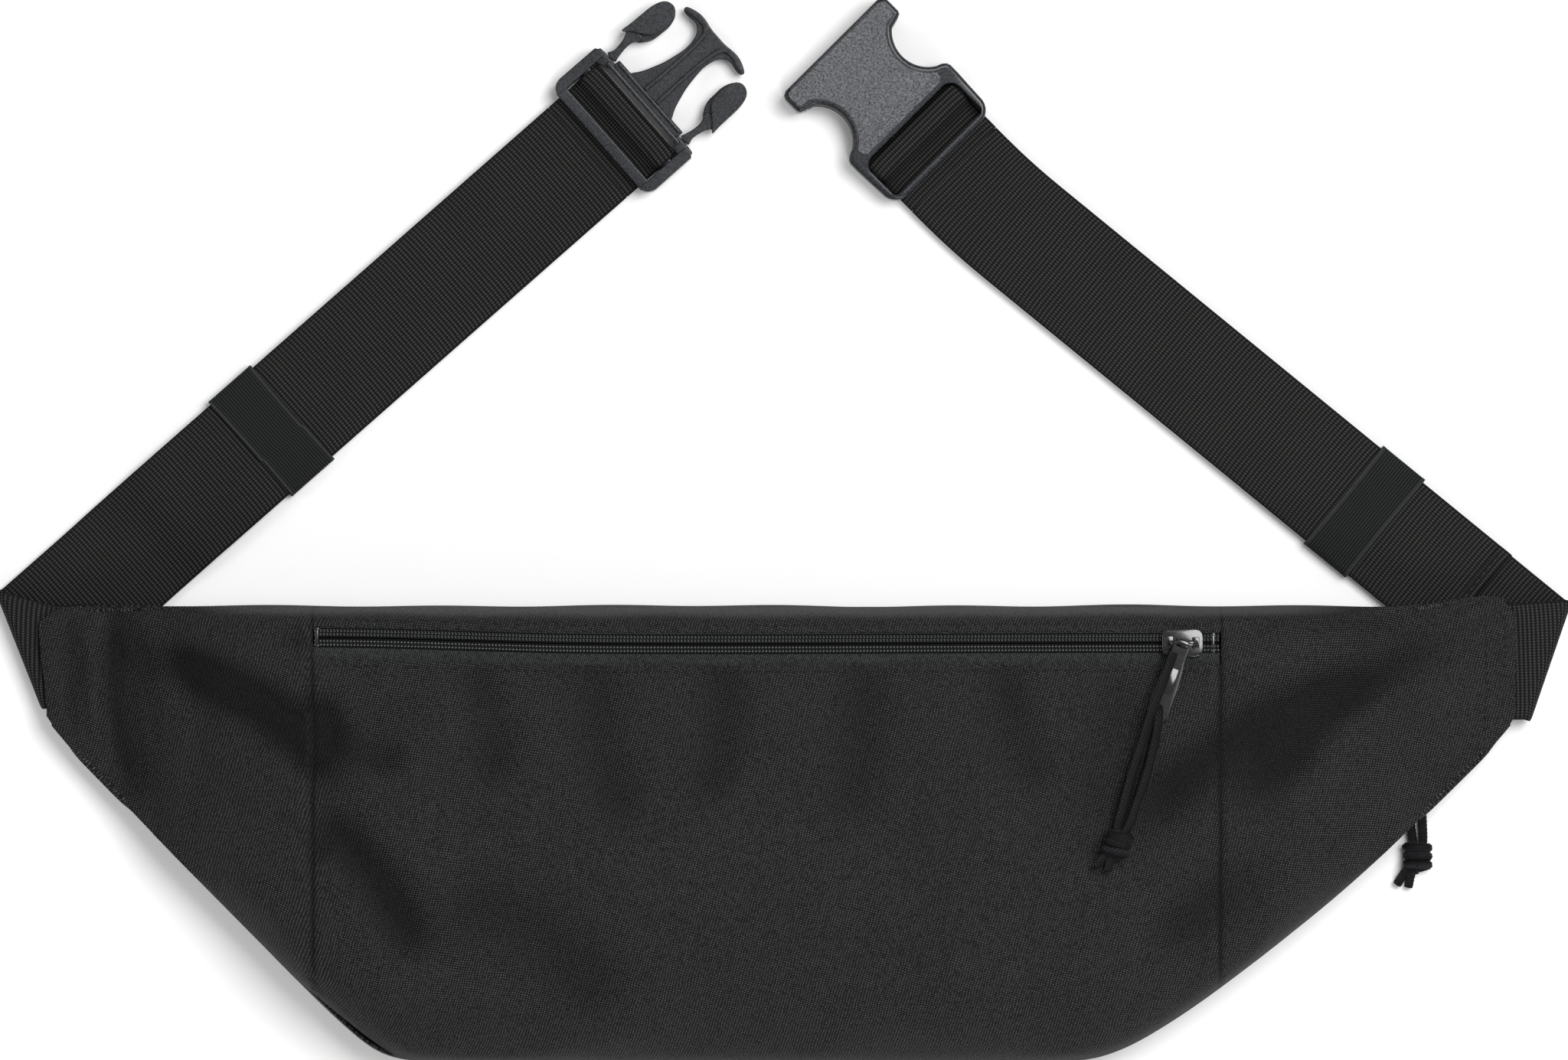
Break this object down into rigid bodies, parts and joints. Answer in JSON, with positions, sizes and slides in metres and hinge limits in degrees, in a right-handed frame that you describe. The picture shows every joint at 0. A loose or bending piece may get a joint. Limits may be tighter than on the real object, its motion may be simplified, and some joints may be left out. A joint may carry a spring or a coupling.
{
  "type": "money belt",
  "caption": "Black fabric hip bag on a webbing belt with a side-release buckle, sliding elastic keepers, a corded front zip and a second zip on its back.",
  "frame": {"origin": "centre of the part of the back panel that lies on the table", "axes": "+X along the bag to its right end seen from the front, +Y across the bag towards the buckle as the belt is laid out, +Z out of the front panel"},
  "size_m": [0.4967, 0.3383, 0.0488],
  "materials": {
    "bag_cloth": "matt black coarse woven nylon",
    "lining": "thin matt black lining",
    "webbing": "black ribbed nylon webbing with a slight sheen",
    "elastic": "matt grey-black ribbed elastic",
    "zip_tape": "matt black woven zip tape",
    "zip_coil": "satin black nylon coil",
    "zip_metal": "gloss black enamel",
    "cord": "braided black cord with a faint fleck",
    "buckle_plastic": "fine-textured black acetal, smoother on its ribs"
  },
  "bodies": {
    "bag": {"front_pocket_panel": "bag_cloth", "front_top_strip": "bag_cloth", "left_wing_panel": "bag_cloth", "right_wing_panel": "bag_cloth", "back_panel": "bag_cloth", "back_top_strip": "bag_cloth", "top_gusset": "bag_cloth", "bottom_gusset": "bag_cloth", "pocket_divider": "lining", "front_zip_tape_lower": "zip_tape", "front_zip_tape_upper": "zip_tape", "front_zip_coil_lower": "zip_coil", "front_zip_coil_upper": "zip_coil", "front_zip_stop_left": "zip_metal", "front_zip_stop_right": "zip_metal", "rear_zip_tape_lower": "zip_tape", "rear_zip_tape_upper": "zip_tape", "rear_zip_coil_lower": "zip_coil", "rear_zip_coil_upper": "zip_coil", "rear_zip_stop_left": "zip_metal", "rear_zip_stop_right": "zip_metal", "left_belt_wing": "webbing", "right_belt_wing": "webbing"},
    "front_slider": {"front_zip_slider": "zip_metal"},
    "front_pull": {"front_pull_tab": "zip_metal", "front_cord_upper": "cord"},
    "front_cord": {"front_cord_left_leg": "cord", "front_cord_right_leg": "cord", "front_cord_knot": "cord"},
    "rear_slider": {"rear_zip_slider": "zip_metal"},
    "rear_pull": {"rear_pull_tab": "zip_metal"},
    "rear_cord": {"rear_cord_left_leg": "cord", "rear_cord_right_leg": "cord", "rear_cord_knot": "cord"},
    "left_belt": {"left_belt_run": "webbing", "left_belt_tail": "webbing"},
    "left_elastic": {"left_keeper": "elastic"},
    "male_buckle": {"male_buckle_body": "buckle_plastic", "left_belt_loop": "webbing"},
    "upper_prong": {"male_prong_upper": "buckle_plastic"},
    "lower_prong": {"male_prong_lower": "buckle_plastic"},
    "right_belt": {"right_belt_run": "webbing", "right_belt_tail": "webbing"},
    "right_elastic": {"right_keeper": "elastic"},
    "female_buckle": {"female_buckle_body": "buckle_plastic", "right_belt_loop": "webbing"}
  },
  "joints": [
    {"name": "front_zip_slide", "type": "slide", "parent": "bag", "child": "front_slider", "axis": [-1, 0, 0], "range_m": [0, 0.262]},
    {"name": "front_pull_flip", "type": "hinge", "parent": "front_slider", "child": "front_pull", "pos_m": [0.1252, 0.1157, 0.04185], "axis": [-1, 0, 0], "range_deg": [0, 150]},
    {"name": "front_cord_swing", "type": "hinge", "parent": "front_pull", "child": "front_cord", "pos_m": [0.11733, 0.09409, 0.04185], "axis": [0, 0, 1], "range_deg": [-25, 25]},
    {"name": "rear_zip_slide", "type": "slide", "parent": "bag", "child": "rear_slider", "axis": [-1, 0, 0], "range_m": [0, 0.372]},
    {"name": "rear_pull_flip", "type": "hinge", "parent": "rear_slider", "child": "rear_pull", "pos_m": [0.1978, 0.113, 0.00315], "axis": [1, 0, 0], "range_deg": [0, 150]},
    {"name": "rear_cord_swing", "type": "hinge", "parent": "rear_pull", "child": "rear_cord", "pos_m": [0.199, 0.09003, 0.00315], "axis": [0, 0, 1], "range_deg": [-25, 25]},
    {"name": "left_belt_fold", "type": "hinge", "parent": "bag", "child": "left_belt", "pos_m": [-0.2413, 0.1135, 0.0055], "axis": [-0.3665, 0.9304, 0], "range_deg": [0, 180]},
    {"name": "left_keeper_slide", "type": "slide", "parent": "left_belt", "child": "left_elastic", "axis": [0.7507, 0.6607, 0], "range_m": [-0.02, 0.115]},
    {"name": "left_buckle_tilt", "type": "hinge", "parent": "left_belt", "child": "male_buckle", "pos_m": [-0.06189, 0.2714, 0.00275], "axis": [-0.6607, 0.7507, 0], "range_deg": [-45, 45]},
    {"name": "upper_prong_squeeze", "type": "hinge", "parent": "male_buckle", "child": "upper_prong", "pos_m": [-0.05552, 0.30125, 0.00425], "axis": [0, 0, -1], "range_deg": [0, 6], "stiffness_Nm_per_rad": 0.5},
    {"name": "lower_prong_squeeze", "type": "hinge", "parent": "male_buckle", "child": "lower_prong", "pos_m": [-0.03147, 0.27392, 0.00425], "axis": [0, 0, 1], "range_deg": [0, 6], "stiffness_Nm_per_rad": 0.5},
    {"name": "right_belt_fold", "type": "hinge", "parent": "bag", "child": "right_belt", "pos_m": [0.2418, 0.1099, 0.0055], "axis": [-0.3256, -0.9455, 0], "range_deg": [0, 180]},
    {"name": "right_keeper_slide", "type": "slide", "parent": "right_belt", "child": "right_elastic", "axis": [-0.7744, 0.6327, 0], "range_m": [-0.02, 0.12]},
    {"name": "right_buckle_tilt", "type": "hinge", "parent": "right_belt", "child": "female_buckle", "pos_m": [0.05365, 0.26595, 0.00275], "axis": [-0.709, -0.7053, 0], "range_deg": [-45, 45]}
  ]
}
